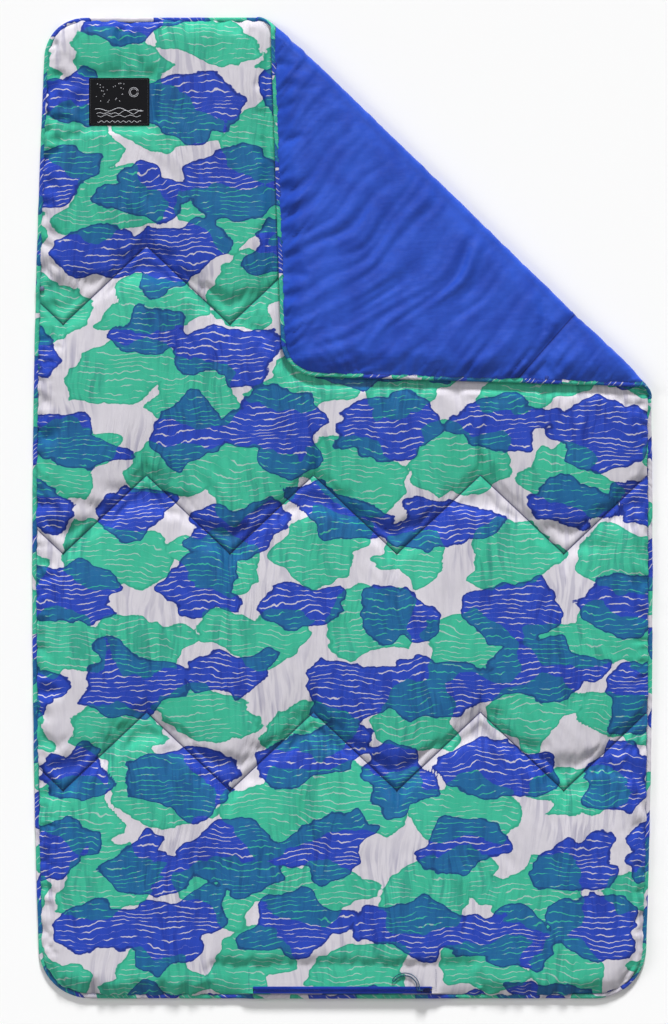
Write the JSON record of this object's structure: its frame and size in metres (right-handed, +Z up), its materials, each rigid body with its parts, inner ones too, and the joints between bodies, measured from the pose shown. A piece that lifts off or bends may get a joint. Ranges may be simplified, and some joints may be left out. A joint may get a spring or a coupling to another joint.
{
  "type": "camp blanket",
  "caption": "Quilted outdoor blanket with printed face, plain lining, bias piping, a turned-down corner, cape snaps and a zipped stash pocket at the foot.",
  "frame": {"origin": "on the floor under the centre of the flat sheet", "axes": "+Y from foot to head, +X to the right seen from above with the head at the top, +Z up from the lining to the printed face"},
  "size_m": [1.136, 1.796, 0.0316],
  "materials": {
    "printed_face": "matte",
    "lining": "satin",
    "insulation": "matte",
    "filler_cord": "matte",
    "piping": "matte",
    "thread": "matte",
    "zip_tape": "matte",
    "zip_coil": "satin",
    "zip_metal": "satin",
    "pull_cord": "matte",
    "label": "matte",
    "label_thread": "matte",
    "snap": "satin",
    "snap_rivet": "satin"
  },
  "bodies": {
    "foot_part": {"face_foot": "printed_face", "lining_foot": "lining", "insulation_foot": "insulation", "piping_foot": "piping", "piping_cord_foot": "filler_cord", "binding_thread_foot": "thread", "quilt_thread_row_2": "thread", "quilt_thread_row_3": "thread", "pocket_bag": "lining", "pocket_stitching": "thread", "zip_tape_upper": "zip_tape", "zip_tape_lower": "zip_tape", "zip_coil_upper": "zip_coil", "zip_coil_lower": "zip_coil", "zip_stops": "zip_metal"},
    "head_part": {"face_head": "printed_face", "lining_head": "lining", "insulation_head": "insulation", "piping_head": "piping", "piping_cord_head": "filler_cord", "binding_thread_head": "thread", "quilt_thread_row_1": "thread", "woven_label": "label", "label_stitching": "label_thread", "snap_cap": "snap", "snap_socket": "snap"},
    "corner_part": {"face_corner": "printed_face", "lining_corner": "lining", "insulation_corner": "insulation", "piping_corner": "piping", "piping_cord_corner": "filler_cord", "binding_thread_corner": "thread", "quilt_thread_row_1_corner": "thread", "snap_stud": "snap", "snap_rivet": "snap_rivet"},
    "slider": {"zip_slider": "zip_metal"},
    "tab": {"pull_tab": "zip_metal"},
    "cord": {"pull_cord": "pull_cord"}
  },
  "joints": [
    {"name": "head_fold", "type": "hinge", "parent": "foot_part", "child": "head_part", "pos_m": [0, 0.111, 0.027], "axis": [1, 0, 0], "range_deg": [0, 179.5]},
    {"name": "corner_fold", "type": "hinge", "parent": "head_part", "child": "corner_part", "pos_m": [0.20785, 0.55483, 0.0155], "axis": [-0.7193, 0.6947, 0], "range_deg": [0, 179.5]},
    {"name": "zip_slide", "type": "slide", "parent": "foot_part", "child": "slider", "axis": [1, 0, 0], "range_m": [-0.308, 0]},
    {"name": "tab_flip", "type": "hinge", "parent": "slider", "child": "tab", "pos_m": [0.154, -0.881, 0.0188], "axis": [0, 1, 0], "range_deg": [0, 170]},
    {"name": "cord_swing", "type": "hinge", "parent": "tab", "child": "cord", "pos_m": [0.14385, -0.881, 0.0188], "axis": [0, 0, 1], "range_deg": [-20, 20]}
  ]
}
